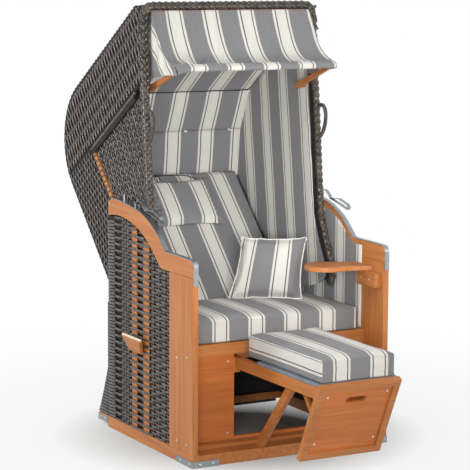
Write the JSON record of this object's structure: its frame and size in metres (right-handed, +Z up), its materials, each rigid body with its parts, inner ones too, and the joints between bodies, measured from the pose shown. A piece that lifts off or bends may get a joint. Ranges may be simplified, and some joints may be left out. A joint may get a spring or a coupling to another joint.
{
  "type": "hooded beach chair",
  "caption": "One-seat hooded beach chair: wicker basket and reclining wicker hood, wood frame, striped cushions, awning, fold-up table, pull-out footrest.",
  "frame": {"origin": "on the floor under the middle of the chair's outline, hood laid back and footrest pulled out", "axes": "+Z up, -Y towards the front where the footrest comes out, +X towards the arm with the table"},
  "size_m": [0.8522, 1.5988, 1.5987],
  "materials": {
    "stained_wood": "satin",
    "dark_wicker": "satin",
    "zinc_steel": "satin",
    "striped_cloth": "matte",
    "grey_board": "matte"
  },
  "bodies": {
    "frame": {"base_frame": "stained_wood", "corner_bracket_front_left": "zinc_steel", "corner_bracket_front_right": "zinc_steel", "corner_bracket_rear_left": "zinc_steel", "corner_bracket_rear_right": "zinc_steel", "front_deck": "stained_wood", "post_left": "stained_wood", "post_right": "stained_wood", "rear_post_left": "dark_wicker", "rear_post_right": "dark_wicker", "arm_board_left": "stained_wood", "arm_board_right": "stained_wood", "arm_strip_left": "zinc_steel", "arm_strip_right": "zinc_steel", "side_wall_left": "dark_wicker", "side_wall_right": "dark_wicker", "wall_laths_left": "stained_wood", "wall_laths_right": "stained_wood", "rear_wall": "dark_wicker", "side_lining_left": "striped_cloth", "side_lining_right": "striped_cloth", "seat_frame": "stained_wood", "seat_board": "stained_wood", "front_panel": "stained_wood", "footrest_guide_left": "stained_wood", "footrest_guide_right": "stained_wood", "seat_cushion": "striped_cloth", "throw_pillow": "striped_cloth", "table_bracket": "stained_wood", "hood_pivot_bolt_left": "zinc_steel", "hood_pivot_bolt_right": "zinc_steel"},
    "footrest": {"footrest_frame": "stained_wood", "footrest_board": "grey_board"},
    "legs": {"footrest_leg_left": "stained_wood", "footrest_leg_right": "stained_wood"},
    "flap": {"flap_frame": "stained_wood", "flap_panel": "stained_wood"},
    "stays": {"flap_stay_left": "stained_wood", "flap_stay_right": "stained_wood"},
    "pad": {"footrest_pad": "striped_cloth"},
    "hood": {"hood_roof_and_back": "dark_wicker", "hood_side_left": "dark_wicker", "hood_side_right": "dark_wicker", "hood_rim": "dark_wicker", "hood_corner_post_left": "stained_wood", "hood_corner_post_right": "stained_wood", "hood_lining": "striped_cloth", "hood_handle_left": "dark_wicker", "hood_handle_right": "dark_wicker", "backrest_board": "stained_wood", "backrest_cushion": "striped_cloth", "head_cushion": "striped_cloth", "awning_cloth": "striped_cloth"},
    "awning": {"awning_frame": "stained_wood"},
    "table": {"table_leaf": "stained_wood"},
    "latch_left": {"latch_bail_left": "zinc_steel"},
    "latch_right": {"latch_bail_right": "zinc_steel"},
    "carry_left": {"carry_handle_left": "stained_wood"},
    "carry_right": {"carry_handle_right": "stained_wood"}
  },
  "joints": [
    {"name": "hood_recline", "type": "hinge", "parent": "frame", "child": "hood", "pos_m": [0, 0.04263, 0.59], "axis": [1, 0, 0], "range_deg": [0, 32]},
    {"name": "awning_fold", "type": "hinge", "parent": "hood", "child": "awning", "pos_m": [0, 0.16056, 1.27994], "axis": [1, 0, 0], "range_deg": [-60, 0], "deforming": ["awning_cloth"]},
    {"name": "footrest_slide", "type": "slide", "parent": "frame", "child": "footrest", "axis": [0, 1, 0], "range_m": [0, 0.45]},
    {"name": "flap_fold", "type": "hinge", "parent": "footrest", "child": "flap", "pos_m": [0, -0.77537, 0.3488], "axis": [1, 0, 0], "range_deg": [-25.3, 0]},
    {"name": "leg_fold", "type": "hinge", "parent": "footrest", "child": "legs", "pos_m": [0, -0.56537, 0.319], "axis": [1, 0, 0], "range_deg": [0, 46.4]},
    {"name": "stay_fold", "type": "hinge", "parent": "flap", "child": "stays", "pos_m": [0, -0.69102, 0.19843], "axis": [1, 0, 0], "range_deg": [0, 64]},
    {"name": "pad_lift", "type": "slide", "parent": "frame", "child": "pad", "axis": [0, 0, 1], "range_m": [0, 0.3]},
    {"name": "table_fold", "type": "hinge", "parent": "frame", "child": "table", "pos_m": [0.3759, -0.31737, 0.646], "axis": [0, 1, 0], "range_deg": [0, 88]},
    {"name": "latch_left_swing", "type": "hinge", "parent": "frame", "child": "latch_left", "pos_m": [-0.389, 0.10963, 0.871], "axis": [1, 0, 0], "range_deg": [-80, 0]},
    {"name": "latch_right_swing", "type": "hinge", "parent": "frame", "child": "latch_right", "pos_m": [0.389, 0.10963, 0.871], "axis": [1, 0, 0], "range_deg": [-80, 0]},
    {"name": "carry_left_fold", "type": "hinge", "parent": "frame", "child": "carry_left", "pos_m": [-0.4043, 0.09263, 0.338], "axis": [0, 1, 0], "range_deg": [0, 17]},
    {"name": "carry_right_fold", "type": "hinge", "parent": "frame", "child": "carry_right", "pos_m": [0.4043, 0.09263, 0.338], "axis": [0, 1, 0], "range_deg": [-17, 0]}
  ],
  "couplings": [
    {"joint": "flap_fold", "follows": "footrest_slide", "rad_per_m": -0.981},
    {"joint": "leg_fold", "follows": "footrest_slide", "rad_per_m": 1.79},
    {"joint": "stay_fold", "follows": "footrest_slide", "rad_per_m": 2.48}
  ]
}
